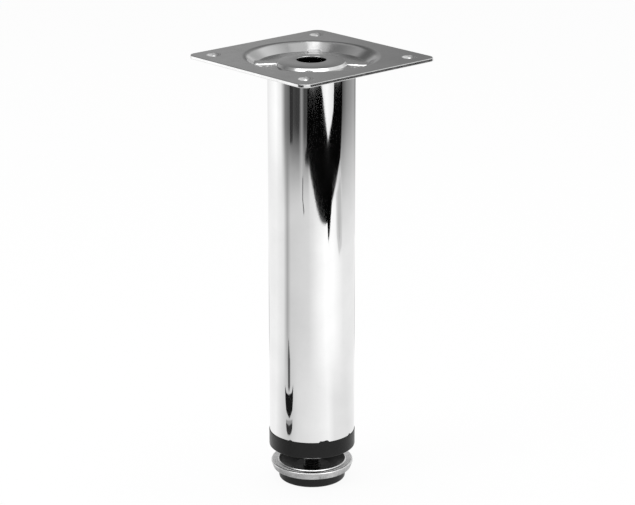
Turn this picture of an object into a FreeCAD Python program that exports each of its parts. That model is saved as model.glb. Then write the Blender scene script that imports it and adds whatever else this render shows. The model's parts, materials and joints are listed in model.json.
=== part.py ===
"""Height adjustable table leg: a chromed tube welded under a pressed mounting plate, with a screw foot.

Millimetres. The origin is on the floor at the leg's axis, Z is up, the plate's sides lie along X and Y.
"""
import FreeCAD, Part
import math
import os

# Tube
tube_d = 50.0
tube_wall = 1.2
tube_length = 219.0
tube_end_chamfer = 0.3

# Mounting plate: one pressed sheet
plate_side = 100.0
sheet = 2.0
plate_corner_r = 5.3
plate_edge_r = 0.4
dish_depth = 4.2
dish_wall_deg = 32.0
dish_lip_r = 6.0
seat_outside_tube = 6.0
seat_inside_tube = 4.8
press_r = 1.2
boss_step = 1.1
boss_step_run = 1.9
boss_dome_rise = 1.3
centre_hole_d = 17.0
rib_count = 4
rib_phase_deg = 45.0
rib_height = 1.5
rib_inner_width = 4.0
rib_outer_width = 6.4
rib_flank_run = 1.6
rib_crest_r = 0.9
rib_overrun = 1.6
screw_hole_d = 5.0
screw_head_d = 8.6
screw_inset = 11.0

# End insert: a moulded plug whose collar carries the tube's lower end
collar_overhang = 0.3
collar_height = 9.8
collar_floor = 3.0
collar_edge_r = 0.8
spigot_length = 25.0
spigot_wall = 2.0
spigot_clearance = 0.35
spigot_chamfer = 1.0
boss_wall = 2.6
boss_above_collar = 10.0
web_count = 8
web_thickness = 1.8
web_drop = 4.0
crush_rib_width = 1.6
web_phase_deg = 18.0
nib_clearance = 0.05
nib_taper = 0.6
# Burrs that the tube's edge raised on the collar's rim: angle about Z, width and height of each
nibs = [(-162.0, 2.4, 0.8), (-115.0, 6.4, 1.1), (-70.0, 2.6, 0.9)]

# Screw
thread_d = 10.0
thread_clearance = 0.05
bore_clearance = 0.3
nut_af = 16.0
nut_height = 8.4
nut_recess = 0.8
nut_pocket_clearance = 0.05
spindle_travel_down = 15.0
spindle_spare = 3.0
spindle_tip_chamfer = 1.2
head_af = 16.0
head_height = 3.4
hex_face_ratio = 0.96
hex_chamfer_deg = 30.0

# Foot
foot_gap = 9.4
glide_r = 20.0
glide_foot_r = 19.5
glide_height = 6.4
glide_floor = 1.5
glide_edge_r = 1.2
glide_wall = 2.1
snap_lip_height = 0.8
snap_overlap = 0.4
turn_clearance = 0.3
hub_floor = 1.4
hub_flange_height = 3.8
hub_dish_floor_r = 11.0
hub_rim_r = 0.6
ring_sheet = 0.9
ring_r = 24.3
ring_cone_deg = 19.3
ring_hole_r = 19.6
ring_height = 4.6
ring_edge_r = 0.8
ring_hole_edge_r = 0.4
ring_clearance = 0.05
head_clearance = 0.05

# Levels that follow from the sizes above
tube_r = tube_d / 2
tube_inner_r = tube_r - tube_wall
thread_r = thread_d / 2
ring_bottom = glide_height + turn_clearance
ring_top = ring_bottom + ring_height
collar_bottom = ring_top + foot_gap
tube_bottom = collar_bottom + collar_height
tube_top = tube_bottom + tube_length
plate_top = tube_top + sheet + dish_depth
nut_bottom = collar_bottom + nut_recess
nut_top = nut_bottom + nut_height
spindle_top = nut_top + spindle_travel_down + spindle_spare
head_top = glide_floor + head_height
hub_floor_top = head_top + hub_floor

# The ring's skirt: its rise per height, its sheet measured along the radius, and its corner before rounding
skirt_slope = math.tan(math.radians(ring_cone_deg))
skirt_run = ring_sheet / math.cos(math.radians(ring_cone_deg))
ring_corner_r = ring_r + ring_edge_r * (math.tan(math.radians(45 + ring_cone_deg / 2)) - 1)
ring_bottom_r = ring_corner_r - skirt_slope * ring_height
ring_under = ring_top - ring_sheet
ring_under_r = ring_corner_r - skirt_slope * ring_sheet - skirt_run

# How far a cut runs past the face it opens
overshoot = 1.0

TOLERANCE = 1e-6
Z_AXIS = FreeCAD.Vector(0, 0, 1)
CENTRE = FreeCAD.Vector(0, 0, 0)


def at(r, z):
    """A point of a section, in the XZ half plane."""
    return FreeCAD.Vector(r, 0, z)


def unit(a, b):
    return (b - a).normalize()


def rounded_edges(points, radii):
    """Edges of an open line through points, whose inner corners are rounded by the given radii."""
    edges = []
    start = points[0]
    for before, corner, after, radius in zip(points, points[1:], points[2:], radii):
        back = unit(corner, before)
        ahead = unit(corner, after)
        half_turn = back.getAngle(ahead) / 2
        if radius == 0 or abs(half_turn - math.pi / 2) < TOLERANCE:
            edges.append(Part.LineSegment(start, corner).toShape())
            start = corner
            continue
        run = radius / math.tan(half_turn)
        bisector = (back + ahead).normalize()
        middle = corner + bisector * (radius / math.sin(half_turn) - radius)
        arc_start = corner + back * run
        arc_end = corner + ahead * run
        edges.append(Part.LineSegment(start, arc_start).toShape())
        edges.append(Part.Arc(arc_start, middle, arc_end).toShape())
        start = arc_end
    edges.append(Part.LineSegment(start, points[-1]).toShape())
    return edges


def turned(points, radii=None):
    """A solid of revolution about Z. points go once round its section, and radii round the corners between."""
    radii = radii or [0] * len(points)
    start = (points[0] + points[1]) * 0.5
    path = [start] + points[1:] + [points[0], start]
    section = Part.Face(Part.Wire(rounded_edges(path, radii[1:] + radii[:1])))
    return solid_of(section.revolve(CENTRE, Z_AXIS, 360))


def solid_of(shape):
    """The one solid of a shape, turned the right way out and with no seams left by its making."""
    solid = shape.removeSplitter().Solids[0]
    if solid.Volume < 0:
        solid.reverse()
    return solid


def cylinder(radius, bottom, top):
    return Part.makeCylinder(radius, top - bottom, at(0, bottom))


def hex_prism(across_flats, bottom, top):
    """A hexagonal prism on the axis with two flats facing Y."""
    corner_r = across_flats / math.sqrt(3)
    corners = []
    for k in range(7):
        angle = math.radians(60 * k)
        corners.append(FreeCAD.Vector(corner_r * math.cos(angle), corner_r * math.sin(angle), bottom))
    face = Part.Face(Part.makePolygon(corners))
    return face.extrude(Z_AXIS * (top - bottom))


def chamfered_hex(across_flats, bottom, top):
    """A hexagon whose corners are turned off at both ends, as on a nut or a bolt head."""
    corner_r = across_flats / math.sqrt(3)
    face_r = across_flats / 2 * hex_face_ratio
    drop = (corner_r - face_r) * math.tan(math.radians(hex_chamfer_deg))
    envelope = turned([
        at(0, bottom),
        at(face_r, bottom),
        at(corner_r, bottom + drop),
        at(corner_r, top - drop),
        at(face_r, top),
        at(0, top),
    ])
    return hex_prism(across_flats, bottom, top).common(envelope)


def around_axis(shape, count, phase_deg=0.0):
    """Copies of a shape, evenly spaced about Z."""
    copies = []
    for k in range(count):
        copy = shape.copy()
        copy.rotate(CENTRE, Z_AXIS, phase_deg + 360 * k / count)
        copies.append(copy)
    return copies


def offset_line(points, distance):
    """An open line of the XZ plane moved sideways by distance, with its corners mitred and its ends squared."""
    moved = []
    normals = []
    for a, b in zip(points, points[1:]):
        run = unit(a, b)
        normals.append(FreeCAD.Vector(run.z, 0, -run.x))
    moved.append(points[0] + normals[0] * distance)
    for corner, n1, n2 in zip(points[1:-1], normals, normals[1:]):
        mitre = (n1 + n2).normalize()
        moved.append(corner + mitre * (distance / mitre.dot(n1)))
    moved.append(points[-1] + normals[-1] * distance)
    return moved


def plate_blank():
    """The flat square sheet with rounded corners and edges."""
    half = plate_side / 2
    corner = FreeCAD.Vector(-half, -half, plate_top - sheet)
    blank = Part.makeBox(plate_side, plate_side, sheet, corner)
    uprights = [e for e in blank.Edges if abs(e.tangentAt(e.FirstParameter).z) > 0.5]
    blank = blank.makeFillet(plate_corner_r, uprights)
    rims = [e for e in blank.Edges if e.BoundBox.ZLength < TOLERANCE]
    return blank.makeFillet(plate_edge_r, rims)


def dish_section():
    """The upper line of the pressed dish, from the flat of the plate in to the centre hole, and its corner radii."""
    floor = plate_top - dish_depth
    floor_outer_r = tube_r + seat_outside_tube
    floor_inner_r = tube_r - seat_inside_tube
    wall_run = dish_depth / math.tan(math.radians(dish_wall_deg))
    lip = floor_outer_r + wall_run
    lip_run = dish_lip_r * math.tan(math.radians(dish_wall_deg / 2))
    step_top = floor + boss_step
    points = [
        at(lip + 2 * lip_run, plate_top),
        at(lip, plate_top),
        at(floor_outer_r, floor),
        at(floor_inner_r, floor),
        at(floor_inner_r - boss_step_run, step_top),
        at(centre_hole_d / 2, step_top + boss_dome_rise),
    ]
    # The outer line of each bend has the inner radius plus the sheet
    upper_radii = [dish_lip_r, press_r, press_r, press_r + sheet]
    lower_radii = [dish_lip_r - sheet, press_r + sheet, press_r + sheet, press_r]
    return points, upper_radii, lower_radii


def pressed_dish():
    """The dish as a revolved sheet of even thickness."""
    points, upper_radii, lower_radii = dish_section()
    under = offset_line(points, -sheet)
    under[-1] = at(points[-1].x, under[-1].z)
    upper_edges = rounded_edges(points, upper_radii)
    lower_edges = rounded_edges(under, lower_radii)
    outer_end = Part.LineSegment(points[0], under[0]).toShape()
    inner_end = Part.LineSegment(points[-1], under[-1]).toShape()
    wire = Part.Wire(Part.__sortEdges__(upper_edges + lower_edges + [outer_end, inner_end]))
    return solid_of(Part.Face(wire).revolve(CENTRE, Z_AXIS, 360)), points[0].x


def rib_section(x, crest_width, base_level):
    """The outline of a rib across its length, with a rounded crest."""
    foot = sheet / 2
    spread = rib_flank_run * (1 + foot / rib_height)
    crest = base_level + rib_height
    root = base_level - foot
    half = crest_width / 2
    section = [
        FreeCAD.Vector(x, -half - spread, root),
        FreeCAD.Vector(x, -half, crest),
        FreeCAD.Vector(x, half, crest),
        FreeCAD.Vector(x, half + spread, root),
    ]
    edges = rounded_edges(section, [rib_crest_r, rib_crest_r])
    edges.append(Part.LineSegment(section[-1], section[0]).toShape())
    return Part.Wire(edges)


def radial_rib(base_level):
    """A pressed rib along X across the dish floor, which widens from the boss to the wall."""
    inner = tube_r - seat_inside_tube - rib_overrun / 2
    outer = tube_r + seat_outside_tube + rib_overrun
    ends = [
        rib_section(inner, rib_inner_width, base_level),
        rib_section(outer, rib_outer_width, base_level),
    ]
    return Part.makeLoft(ends, True, True)


def screw_hole(x, y):
    """A countersunk screw hole, as the solid that is cut away."""
    sink = (screw_head_d - screw_hole_d) / 2
    hole_r = screw_hole_d / 2
    tool = turned([
        at(0, plate_top - 2 * sheet),
        at(hole_r, plate_top - 2 * sheet),
        at(hole_r, plate_top - sink),
        at(hole_r + sink + sheet, plate_top + sheet),
        at(0, plate_top + sheet),
    ])
    tool.translate(FreeCAD.Vector(x, y, 0))
    return tool


def mounting_plate():
    dish, dish_rim_r = pressed_dish()
    floor = plate_top - dish_depth
    ring = plate_blank().cut(cylinder(dish_rim_r, plate_top - 2 * sheet, plate_top + sheet))
    plate = ring.fuse(dish)
    plate = plate.fuse(around_axis(radial_rib(floor), rib_count, rib_phase_deg))
    plate = plate.cut(around_axis(radial_rib(floor - sheet), rib_count, rib_phase_deg))
    reach = plate_side / 2 - screw_inset
    for x in (-reach, reach):
        for y in (-reach, reach):
            plate = plate.cut(screw_hole(x, y))
    return solid_of(plate)


def leg_tube():
    c = tube_end_chamfer
    return turned([
        at(tube_inner_r, tube_bottom),
        at(tube_r - c, tube_bottom),
        at(tube_r, tube_bottom + c),
        at(tube_r, tube_top - c),
        at(tube_r - c, tube_top),
        at(tube_inner_r, tube_top),
    ])


def insert_cup():
    """Collar and spigot as one open cup."""
    collar_r = tube_r + collar_overhang
    spigot_r = tube_inner_r - spigot_clearance
    cup_r = spigot_r - spigot_wall
    spigot_top = tube_bottom + spigot_length
    inside = collar_bottom + collar_floor
    points = [
        at(0, collar_bottom),
        at(collar_r, collar_bottom),
        at(collar_r, tube_bottom),
        at(spigot_r, tube_bottom),
        at(spigot_r, spigot_top - spigot_chamfer),
        at(spigot_r - spigot_chamfer, spigot_top),
        at(cup_r, spigot_top),
        at(cup_r, inside),
        at(0, inside),
    ]
    return turned(points, [0, collar_edge_r, 0, 0, 0, 0, 0, 0, 0])


def insert_webs(boss_r):
    """Radial webs between the boss and the spigot's wall."""
    cup_r = tube_inner_r - spigot_clearance - spigot_wall
    reach = cup_r + spigot_wall / 2
    bottom = collar_bottom + collar_floor / 2
    top = tube_bottom + boss_above_collar - web_drop
    start = boss_r - boss_wall / 2
    web = Part.makeBox(
        reach - start, web_thickness, top - bottom, FreeCAD.Vector(start, -web_thickness / 2, bottom)
    )
    return around_axis(web, web_count, web_phase_deg)


def crush_ribs():
    """Small ridges along the spigot that bear on the tube's bore."""
    spigot_r = tube_inner_r - spigot_clearance
    height = spigot_length - 2 * spigot_chamfer
    start = spigot_r - spigot_wall / 2
    block = Part.makeBox(
        tube_d, crush_rib_width, height, FreeCAD.Vector(start, -crush_rib_width / 2, tube_bottom)
    )
    rib = block.common(cylinder(tube_inner_r, tube_bottom, tube_bottom + spigot_length))
    return around_axis(rib, web_count, web_phase_deg)


def rim_nib(angle_deg, width, height):
    """One low burr on the collar's rim, which stands up round the tube's end."""
    root = tube_bottom - collar_edge_r
    top = tube_bottom + height
    band = cylinder(tube_r + collar_overhang, root, top).cut(cylinder(tube_r + nib_clearance, root, top))
    half = width / 2
    taper = nib_taper * height
    outline = [
        FreeCAD.Vector(0, -half, root),
        FreeCAD.Vector(0, -half, tube_bottom),
        FreeCAD.Vector(0, -half + taper, top),
        FreeCAD.Vector(0, half - taper, top),
        FreeCAD.Vector(0, half, tube_bottom),
        FreeCAD.Vector(0, half, root),
        FreeCAD.Vector(0, -half, root),
    ]
    nib = band.common(Part.Face(Part.makePolygon(outline)).extrude(FreeCAD.Vector(tube_d, 0, 0)))
    nib.rotate(CENTRE, Z_AXIS, angle_deg)
    return nib


def end_insert():
    boss_r = nut_af / math.sqrt(3) + boss_wall
    boss_top = tube_bottom + boss_above_collar
    insert = insert_cup()
    insert = insert.fuse(cylinder(boss_r, collar_bottom + collar_floor / 2, boss_top))
    insert = insert.fuse(insert_webs(boss_r) + crush_ribs() + [rim_nib(*nib) for nib in nibs])
    insert = insert.cut(cylinder(thread_r + bore_clearance, collar_bottom - overshoot, boss_top + overshoot))
    pocket_af = nut_af + 2 * nut_pocket_clearance
    insert = insert.cut(hex_prism(pocket_af, collar_bottom - overshoot, nut_top))
    return solid_of(insert)


def spindle_nut():
    bore = cylinder(thread_r + thread_clearance, nut_bottom - overshoot, nut_top + overshoot)
    return solid_of(chamfered_hex(nut_af, nut_bottom, nut_top).cut(bore))


def adjusting_spindle():
    """Threaded rod with a low hexagon head at its foot."""
    c = spindle_tip_chamfer
    rod = turned([
        at(0, head_top - head_height / 2),
        at(thread_r, head_top - head_height / 2),
        at(thread_r, spindle_top - c),
        at(thread_r - c, spindle_top),
        at(0, spindle_top),
    ])
    head = chamfered_hex(head_af, glide_floor, head_top)
    return solid_of(head.fuse(rod))


def foot_ring():
    """Spun trim ring: a flat top and a conical skirt of one thin sheet."""
    return turned(
        [
            at(ring_hole_r, ring_under),
            at(ring_under_r, ring_under),
            at(ring_bottom_r - skirt_run, ring_bottom),
            at(ring_bottom_r, ring_bottom),
            at(ring_corner_r, ring_top),
            at(ring_hole_r, ring_top),
        ],
        [0, 0, 0, 0, ring_edge_r, ring_hole_edge_r],
    )


def foot_hub():
    """Moulded hub: a conical flange under the ring, a dish round the spindle and a flange held in the glide."""
    fit = ring_clearance * skirt_run / ring_sheet
    cup_r = glide_r - glide_wall
    flange_r = cup_r - turn_clearance
    neck_r = cup_r - snap_overlap - 2 * turn_clearance
    flange_top = glide_floor + hub_flange_height
    hub = turned(
        [
            at(thread_r + head_clearance, glide_floor),
            at(flange_r, glide_floor),
            at(flange_r, flange_top),
            at(neck_r, flange_top),
            at(neck_r, ring_bottom),
            at(ring_bottom_r - skirt_run - fit, ring_bottom),
            at(ring_under_r - fit, ring_under),
            at(ring_hole_r - ring_clearance, ring_under),
            at(hub_dish_floor_r, hub_floor_top),
            at(thread_r + head_clearance, hub_floor_top),
        ],
        [0, 0, 0, 0, 0, 0, 0, hub_rim_r, press_r, 0],
    )
    pocket = hex_prism(head_af + 2 * head_clearance, glide_floor - overshoot, head_top)
    return solid_of(hub.cut(pocket))


def foot_glide():
    """Shallow moulded cup that stands on the floor, with a lip that snaps over the hub's flange."""
    cup_r = glide_r - glide_wall
    lip_r = cup_r - snap_overlap - turn_clearance
    lip_bottom = glide_height - snap_lip_height
    return turned(
        [
            at(0, 0),
            at(glide_foot_r, 0),
            at(glide_r, glide_height),
            at(lip_r, glide_height),
            at(lip_r, lip_bottom),
            at(cup_r, lip_bottom),
            at(cup_r, glide_floor),
            at(0, glide_floor),
        ],
        [0, glide_edge_r, 0, 0, 0, 0, 0, 0],
    )


PIECES = {
    "mounting_plate": mounting_plate,
    "leg_tube": leg_tube,
    "end_insert": end_insert,
    "spindle_nut": spindle_nut,
    "adjusting_spindle": adjusting_spindle,
    "foot_hub": foot_hub,
    "foot_ring": foot_ring,
    "foot_glide": foot_glide,
}

os.makedirs("parts", exist_ok=True)
for name, make in PIECES.items():
    make().exportStep(f"parts/{name}.step")
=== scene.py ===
"""Height adjustable table leg: the visual model, its studio and the camera. Metres, in the frame of the solids."""
import bmesh
import bpy
import json
import math
from mathutils import Matrix, Vector

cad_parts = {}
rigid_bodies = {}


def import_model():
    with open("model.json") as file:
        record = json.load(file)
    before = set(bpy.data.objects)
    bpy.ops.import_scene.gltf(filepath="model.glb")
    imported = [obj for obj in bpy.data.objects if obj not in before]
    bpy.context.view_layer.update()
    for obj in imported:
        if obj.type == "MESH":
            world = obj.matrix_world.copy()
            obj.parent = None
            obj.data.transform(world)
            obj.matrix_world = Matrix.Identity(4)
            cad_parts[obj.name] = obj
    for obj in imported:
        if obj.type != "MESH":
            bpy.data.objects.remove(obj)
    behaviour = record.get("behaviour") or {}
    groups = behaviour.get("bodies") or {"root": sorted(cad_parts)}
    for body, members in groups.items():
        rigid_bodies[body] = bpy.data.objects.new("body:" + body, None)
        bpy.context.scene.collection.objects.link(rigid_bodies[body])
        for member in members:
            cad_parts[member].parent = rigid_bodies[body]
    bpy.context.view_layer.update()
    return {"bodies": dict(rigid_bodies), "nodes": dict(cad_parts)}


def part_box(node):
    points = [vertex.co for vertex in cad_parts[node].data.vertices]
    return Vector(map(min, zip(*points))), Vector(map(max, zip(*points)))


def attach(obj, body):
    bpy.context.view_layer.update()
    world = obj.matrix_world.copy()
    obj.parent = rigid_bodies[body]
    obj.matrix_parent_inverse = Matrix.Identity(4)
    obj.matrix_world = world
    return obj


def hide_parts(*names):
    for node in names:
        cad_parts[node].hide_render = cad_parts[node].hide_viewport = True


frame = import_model()
bpy.context.scene.view_settings.view_transform = "Standard"

MM = 0.001
TAU = 2 * math.pi

# Boxes of the solids, which give most sizes
_, PLATE_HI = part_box("mounting_plate")
TUBE_LO, TUBE_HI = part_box("leg_tube")
INSERT_LO, INSERT_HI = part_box("end_insert")
_, NUT_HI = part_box("spindle_nut")
SPINDLE_LO, SPINDLE_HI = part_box("adjusting_spindle")
HUB_LO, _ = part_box("foot_hub")
RING_LO, RING_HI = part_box("foot_ring")
_, GLIDE_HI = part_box("foot_glide")

# Sizes that the boxes don't give, as in the solids
SHEET = 2.0 * MM
PLATE_CORNER_R = 5.3 * MM
PLATE_EDGE_R = 0.4 * MM
DISH_DEPTH = 4.2 * MM
DISH_WALL = math.radians(32.0)
DISH_LIP_R = 6.0 * MM
SEAT_OUTSIDE = 6.0 * MM
SEAT_INSIDE = 4.8 * MM
PRESS_R = 1.2 * MM
CENTRE_HOLE_R = 8.5 * MM
SCREW_HOLE_R = 2.5 * MM
SCREW_HEAD_R = 4.3 * MM
SCREW_INSET = 11.0 * MM
TUBE_WALL = 1.2 * MM
COLLAR_FLOOR = 3.0 * MM
COLLAR_EDGE_R = 0.8 * MM
SPIGOT_CLEARANCE = 0.35 * MM
SPIGOT_WALL = 2.0 * MM
SPIGOT_CHAMFER = 1.0 * MM
BOSS_WALL = 2.6 * MM
BOSS_ABOVE = 10.0 * MM
WEB_COUNT = 8
WEB_T = 1.8 * MM
WEB_DROP = 4.0 * MM
WEB_PHASE = math.radians(18.0)
CRUSH_W = 1.6 * MM
NIB_GAP = 0.05 * MM
THREAD_R = 5.0 * MM
THREAD_PITCH = 1.5 * MM
BORE_R = 5.3 * MM
POCKET_AF = 16.1 * MM
POCKET_GAP = 0.1 * MM
HEAD_AF = 16.0 * MM
HEAD_H = 3.4 * MM
HEAD_FACE_RATIO = 0.96
HEAD_CHAMFER = math.radians(30)
TIP_CHAMFER = 1.2 * MM
HUB_BORE_R = 5.05 * MM
HUB_FLANGE_R = 17.6 * MM
HUB_NECK_R = 16.9 * MM
HUB_FLANGE_TOP = 5.3 * MM
HUB_FLOOR = 1.4 * MM
HUB_DISH_R = 11.0 * MM
RING_SHEET = 0.9 * MM
RING_EDGE_R = 0.8 * MM
RING_HOLE_R = 19.6 * MM
RING_CONE = math.radians(19.3)
RING_CLEARANCE = 0.05 * MM
GLIDE_FOOT_R = 19.5 * MM
GLIDE_EDGE_R = 1.2 * MM
GLIDE_WALL = 2.1 * MM
GLIDE_LIP_R = 17.2 * MM
GLIDE_LIP_H = 0.8 * MM
GLIDE_FLOOR = 1.5 * MM

# Sizes of fine shapes, which the solids don't have or have a little larger or smaller
PLATE_EDGE_LEAN = 0.12 * MM
DRAWN_THIN = 0.5 * MM
BOSS_STEP = 1.8 * MM
BOSS_STEP_RUN = 1.1 * MM
BOSS_STEP_R = 0.3 * MM
BOSS_RISE = 0.9 * MM
HOLE_EDGE = 0.25 * MM
RIB_HEIGHT = 0.85 * MM
RIB_INNER_W = 4.6 * MM
RIB_OUTER_W = 9.0 * MM
RIB_END_NARROWING = 0.35
RIB_FLANK = 0.5 * MM
RIB_FLANK_IN = 0.1 * MM
RIB_START = -0.4 * MM
RIB_START_RUN = 1.3 * MM
RIB_START_LEAD = 0.9 * MM
RIB_END = -1.2 * MM
RIB_END_RUN = 1.8 * MM
RIB_END_LEAD = 0.6 * MM
RIB_BLEND = 0.35 * MM
SCREW_EDGE = 0.12 * MM
TUBE_EDGE_R = 0.3 * MM
# Burrs on the collar's rim: angle in degrees, width and height in millimetres
NIBS = [(-162.0, 2.4, 0.8), (-115.0, 7.4, 1.3), (-70.0, 2.6, 0.9)]
NIB_ROOT = 0.5 * MM
# Share of a burr's half width at full height, share of its height that waves, and how fast it waves
NIB_FLAT = 0.55
NIB_WAVE = 0.14
NIB_WAVE_RATE = 5
CRUSH_GAP = 0.02 * MM
CRUSH_ROOT = 0.4 * MM
# Keeps the ends of a web and a crush rib out of one face
FACES_APART = 0.01 * MM
# Depth of the thread as a share of its pitch
THREAD_DEPTH = 0.6134
RING_DISH = 0.7 * MM
RING_LIP_W = 0.15 * MM
RING_LIP_RUN = 0.4 * MM
RING_LIP_H = 0.52 * MM
GLIDE_RECESS_R = 3.0 * MM
GLIDE_RECESS_EDGE_R = 3.6 * MM
GLIDE_RECESS_H = 0.5 * MM

# Points round the meshes
FINE_ROUND = 288
PLAIN_ROUND = 240
SMALL_ROUND = 64
SCREW_ROUND = 48


# Mesh helpers

def rounded(points, radii, steps=6, support=0.12 * MM):
    """A closed section of (r, z) points with rounded corners. A second point beside each arc keeps the flats flat."""
    out = []
    for i, radius in enumerate(radii):
        corner = Vector(points[i])
        back = (Vector(points[i - 1]) - corner).normalized()
        ahead = (Vector(points[(i + 1) % len(points)]) - corner).normalized()
        if radius == 0:
            out.append(corner)
            continue
        half = back.angle(ahead) / 2
        run = radius / math.tan(half)
        centre = corner + (back + ahead).normalized() * (radius / math.sin(half))
        first = corner + back * run - centre
        last = corner + ahead * run - centre
        turn = math.pi - 2 * half
        out.append(centre + first + back * support)
        for k in range(steps + 1):
            t = k / steps
            out.append(centre + (first * math.sin((1 - t) * turn) + last * math.sin(t * turn)) / math.sin(turn))
        out.append(centre + last + ahead * support)
    return [(p.x, p.y) for p in out]


def polar(r, angle, z):
    return r * math.cos(angle), r * math.sin(angle), z


def circle_ring(bm, x, y, r, z, count=SMALL_ROUND):
    ring = []
    for k in range(count):
        a = TAU * k / count
        ring.append(bm.verts.new((x + r * math.cos(a), y + r * math.sin(a), z)))
    return ring


def hex_radius(angle, across_flats):
    """Radius of a hexagon with corners on X."""
    return across_flats / 2 / math.cos((angle % (TAU / 6)) - TAU / 12)


def hex_ring(bm, across_flats, z):
    angles = [TAU * k / SCREW_ROUND for k in range(SCREW_ROUND)]
    return [bm.verts.new(polar(hex_radius(a, across_flats), a, z)) for a in angles]


def bridge(bm, a, b):
    """Faces between two closed rings of equal count, either of which may be a single point."""
    count = max(len(a), len(b))
    if count == 1:
        return
    for k in range(count):
        n = (k + 1) % count
        if len(a) == 1:
            bm.faces.new((a[0], b[k], b[n]))
        elif len(b) == 1:
            bm.faces.new((a[k], a[n], b[0]))
        else:
            bm.faces.new((a[k], a[n], b[n], b[k]))


def skin(bm, rings):
    """Faces from each ring to the next."""
    for a, b in zip(rings, rings[1:]):
        bridge(bm, a, b)


def face_out(bm):
    bmesh.ops.recalc_face_normals(bm, faces=bm.faces)


def lathe(bm, section, segments):
    """A closed section turned about Z."""
    rings = []
    for r, z in section:
        if r < 1e-7:
            rings.append([bm.verts.new((0, 0, z))])
        else:
            rings.append(circle_ring(bm, 0, 0, r, z, segments))
    skin(bm, rings + rings[:1])
    face_out(bm)


def ring_edges(bm, ring):
    """The edges that close a ring of points."""
    edges = []
    for a, b in zip(ring, ring[1:] + ring[:1]):
        edges.append(bm.edges.get((a, b)) or bm.edges.new((a, b)))
    return edges


def box_at(bm, r0, r1, width, z0, z1, angle):
    """A radial bar between two radii and two heights."""
    size = Matrix.Diagonal((r1 - r0, width, z1 - z0, 1))
    place = Matrix.Rotation(angle, 4, "Z") @ Matrix.Translation(((r0 + r1) / 2, 0, (z0 + z1) / 2)) @ size
    bmesh.ops.create_cube(bm, size=1, matrix=place)


def mesh_object(name, bm):
    mesh = bpy.data.meshes.new(name)
    bm.to_mesh(mesh)
    bm.free()
    obj = bpy.data.objects.new(name, mesh)
    bpy.context.scene.collection.objects.link(obj)
    return obj


def hex_bar(name, across_flats, z0, z1):
    """A hexagonal bar between two heights, to cut a pocket with."""
    bm = bmesh.new()
    rings = [hex_ring(bm, across_flats, z) for z in (z0, z1)]
    skin(bm, rings)
    for ring in rings:
        bm.faces.new(ring)
    face_out(bm)
    return mesh_object(name, bm)


def combine(obj, tool, operation):
    """Adds or cuts away the tool's solid and deletes the tool."""
    mod = obj.modifiers.new(operation.lower(), "BOOLEAN")
    mod.operation = operation
    mod.solver = "EXACT"
    mod.object = tool
    graph = bpy.context.evaluated_depsgraph_get()
    result = bpy.data.meshes.new_from_object(obj.evaluated_get(graph))
    obj.modifiers.clear()
    # A cut leaves many-sided faces, which are split here without slivers
    bm = bmesh.new()
    bm.from_mesh(result)
    bmesh.ops.triangulate(bm, faces=[face for face in bm.faces if len(face.verts) > 4])
    bmesh.ops.dissolve_degenerate(bm, edges=bm.edges, dist=0.001 * MM)
    bm.to_mesh(result)
    bm.free()
    old = obj.data
    obj.data = result
    bpy.data.meshes.remove(old)
    bpy.data.objects.remove(tool)


def dress(obj, material, body, node, sharp_deg=32.0):
    """Shades a piece smoothly between sharp edges, gives it its finish, ties it to its body and hides its solid."""
    mesh = obj.data
    mesh.materials.clear()
    mesh.materials.append(material)
    for polygon in mesh.polygons:
        polygon.use_smooth = True
    mesh.set_sharp_from_angle(angle=math.radians(sharp_deg))
    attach(obj, body)
    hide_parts(node)


# Material helpers

def add(tree, kind, inputs=None, **settings):
    """A node with its settings. An input is a number, a colour or the output that feeds it."""
    node = tree.nodes.new(kind)
    for key, value in settings.items():
        setattr(node, key, value)
    for key, value in (inputs or {}).items():
        if hasattr(value, "is_output"):
            tree.links.new(value, node.inputs[key])
        else:
            node.inputs[key].default_value = value
    return node


def math_node(tree, operation, *values):
    return add(tree, "ShaderNodeMath", dict(enumerate(values)), operation=operation).outputs[0]


def between(tree, share, low, high):
    """A number between two others."""
    return add(tree, "ShaderNodeMix", {0: share, 2: low, 3: high}, data_type="FLOAT").outputs[0]


def over(tree, share, colour, grey):
    """A colour with a share of grey laid over it."""
    return add(tree, "ShaderNodeMix", {0: share, 6: colour, 7: (grey, grey, grey, 1)}, data_type="RGBA").outputs[2]


def own_coords(tree):
    return add(tree, "ShaderNodeTexCoord").outputs["Object"]


def split(tree, vector):
    """The outputs X, Y and Z of a vector."""
    return add(tree, "ShaderNodeSeparateXYZ", {"Vector": vector}).outputs


def noise(tree, scale, detail=3.0, roughness=0.55, stretch=(1, 1, 1)):
    """Noise over the object's own coordinates. scale counts features per metre."""
    mapping = add(tree, "ShaderNodeMapping", {"Vector": own_coords(tree), "Scale": stretch})
    return add(tree, "ShaderNodeTexNoise", {
        "Vector": mapping.outputs["Vector"], "Scale": scale, "Detail": detail, "Roughness": roughness}).outputs["Fac"]


def spread(tree, value, low, high, from_low=0.3, from_high=0.7, **settings):
    """Maps a range, or a texture's middle range, to two numbers."""
    return add(tree, "ShaderNodeMapRange", {
        "Value": value, "From Min": from_low, "From Max": from_high, "To Min": low, "To Max": high},
        **settings).outputs["Result"]


def soft_step(tree, value, start, end):
    """A share that climbs softly from 0 to 1 between two limits of a value."""
    return spread(tree, value, 0.0, 1.0, start, end, interpolation_type="SMOOTHSTEP")


def shades(tree, value, stops):
    """A colour ramp of (position, grey or colour) stops."""
    node = add(tree, "ShaderNodeValToRGB", {"Fac": value})
    ramp = node.color_ramp
    while len(ramp.elements) < len(stops):
        ramp.elements.new(0.5)
    for element, (position, colour) in zip(ramp.elements, stops):
        element.position = position
        rgb = colour if isinstance(colour, tuple) else (colour,) * 3
        element.color = (*rgb, 1)
    return node.outputs["Color"]


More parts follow.
